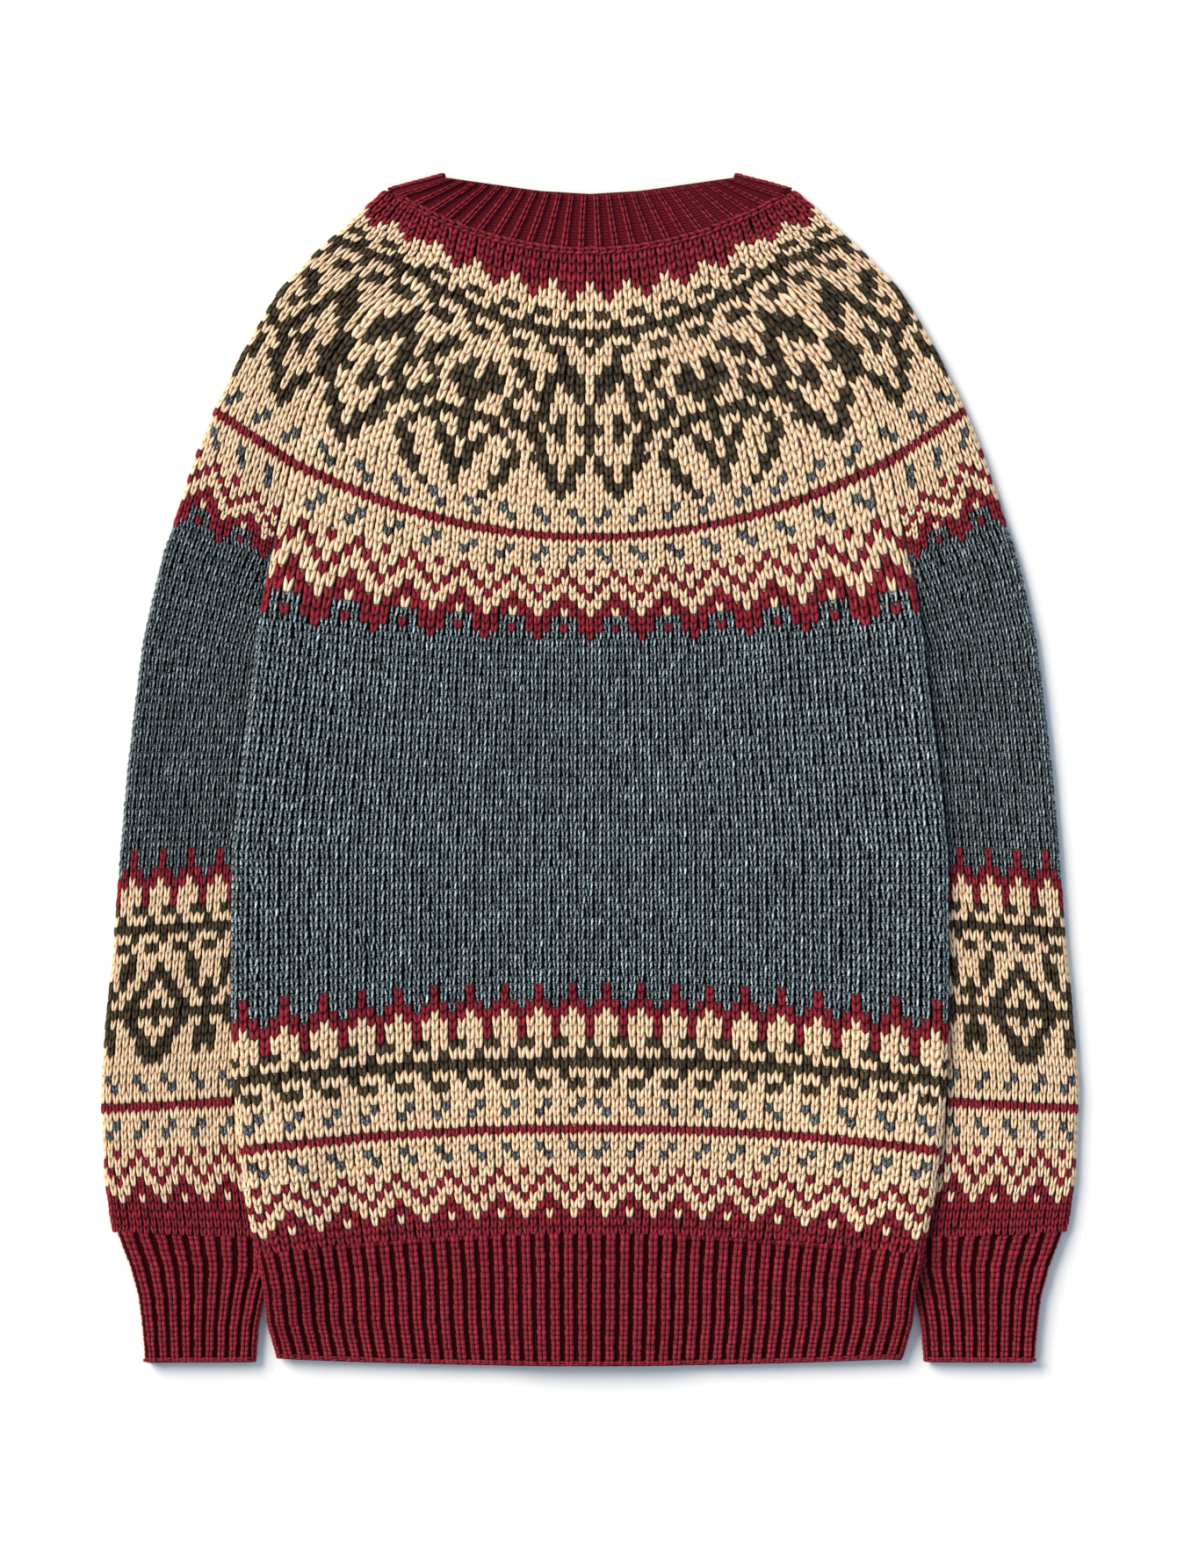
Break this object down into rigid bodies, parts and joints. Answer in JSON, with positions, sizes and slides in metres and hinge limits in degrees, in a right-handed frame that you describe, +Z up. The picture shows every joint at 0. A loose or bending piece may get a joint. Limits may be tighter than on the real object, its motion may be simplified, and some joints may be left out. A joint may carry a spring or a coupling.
{
  "type": "cardigan",
  "caption": "Fair isle cardigan with raglan sleeves, buttoned and laid face down: ribbed neckband, hem and cuffs, patterned yoke and borders, plain middle.",
  "frame": {"origin": "on the surface that the cardigan lies on, under the middle of its box", "axes": "+Z up out of the surface, +Y from the hem to the neck, +X to the wearer's right, as the back is uppermost"},
  "size_m": [0.5784, 0.7052, 0.0174],
  "materials": {
    "body_knit": "matt stockinette, slate blue with tan, crimson and olive brown patterns",
    "sleeve_knit": "matt stockinette, tan with slate blue, crimson and olive brown patterns",
    "rib_knit": "matt crimson 1x1 rib",
    "button": "dark brown horn look, satin"
  },
  "bodies": {
    "root": {"back": "body_knit", "hem_rib_back": "rib_knit", "front_left": "body_knit", "front_right": "body_knit", "hem_rib_front_left": "rib_knit", "hem_rib_front_right": "rib_knit", "sleeve_left": "sleeve_knit", "sleeve_right": "sleeve_knit", "cuff_left": "rib_knit", "cuff_right": "rib_knit", "neckband": "rib_knit", "button_band": "rib_knit", "buttonhole_band": "rib_knit", "button_1": "button", "button_2": "button", "button_3": "button", "button_4": "button", "button_5": "button", "button_6": "button", "button_7": "button"}
  },
  "joints": []
}
